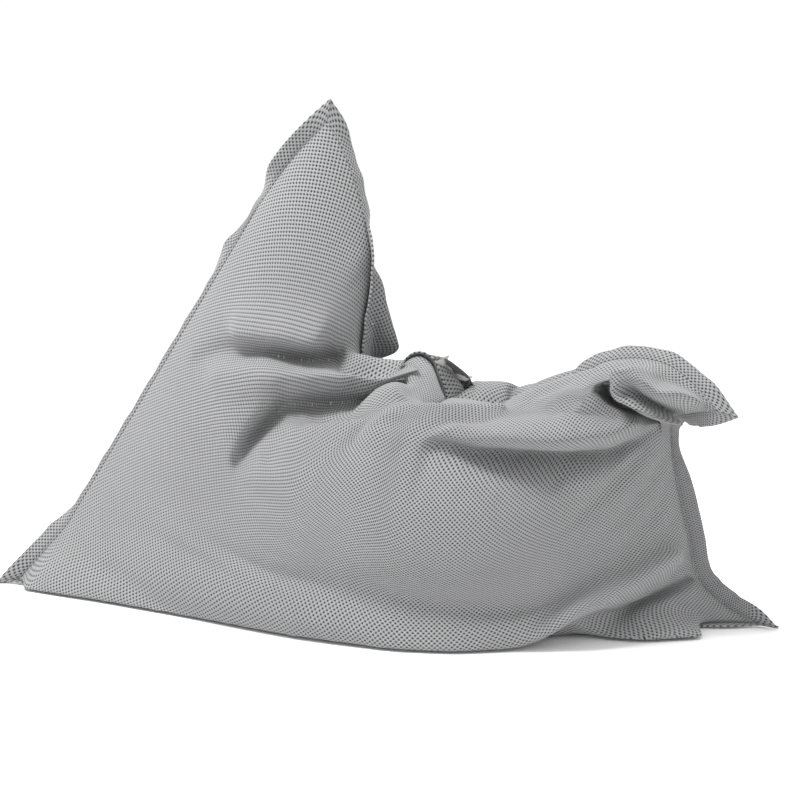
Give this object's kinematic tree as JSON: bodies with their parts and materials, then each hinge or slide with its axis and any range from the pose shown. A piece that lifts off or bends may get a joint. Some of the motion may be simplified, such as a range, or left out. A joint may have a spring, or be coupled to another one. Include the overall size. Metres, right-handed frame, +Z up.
{
  "type": "bean bag chair",
  "caption": "Large pillow-shaped bean bag stood on one long edge, with a raised corner as back rest, a hollow seat and a flopped far corner.",
  "frame": {"origin": "centre of the bounding box's bottom, on the floor under the bag", "axes": "+X along the bottom seam from the back rest's foot to the foot end, +Z up, -Y towards the viewer"},
  "size_m": [1.7178, 0.6569, 1.0946],
  "materials": {
    "cover": "chunky waffle weave, matt",
    "thread": "polyester topstitching thread",
    "lining": "thin smooth liner cloth",
    "beads": "loose expanded polystyrene beads",
    "tape": "woven zip tape",
    "nylon": "nylon zip coil",
    "metal": "plain zip slider"
  },
  "bodies": {
    "bag": {"cover_front_panel": "cover", "cover_back_panel": "cover", "flange_left": "cover", "flange_top": "cover", "flange_right": "cover", "flange_bottom": "cover", "topstitch_left": "thread", "topstitch_top": "thread", "topstitch_right": "thread", "topstitch_bottom": "thread", "liner_front_panel": "lining", "liner_back_panel": "lining", "bead_fill": "beads", "zip_tape_front": "tape", "zip_tape_back": "tape", "liner_zip_tape_front": "tape", "liner_zip_tape_back": "tape", "zip_coil_front": "nylon", "zip_coil_back": "nylon", "liner_zip_coil_front": "nylon", "liner_zip_coil_back": "nylon", "zip_stop_lower": "metal", "zip_stop_upper": "metal", "liner_zip_stop_lower": "metal", "liner_zip_stop_upper": "metal"},
    "zip_slider_body": {"zip_slider": "metal"},
    "zip_puller_body": {"zip_puller": "metal"},
    "liner_zip_slider_body": {"liner_zip_slider": "metal"}
  },
  "joints": [
    {"name": "cover_zip_slide", "type": "slide", "parent": "bag", "child": "zip_slider_body", "axis": [0.5233, 0.0528, 0.8505], "range_m": [-0.7425, 0]},
    {"name": "zip_puller_hinge", "type": "hinge", "parent": "zip_slider_body", "child": "zip_puller_body", "pos_m": [-0.30347, 0.08094, 0.81092], "axis": [-0.0277, 0.9986, -0.045], "range_deg": [0, 160]},
    {"name": "liner_zip_slide", "type": "slide", "parent": "bag", "child": "liner_zip_slider_body", "axis": [0.5213, 0.0546, 0.8516], "range_m": [-0.7262, 0]}
  ]
}
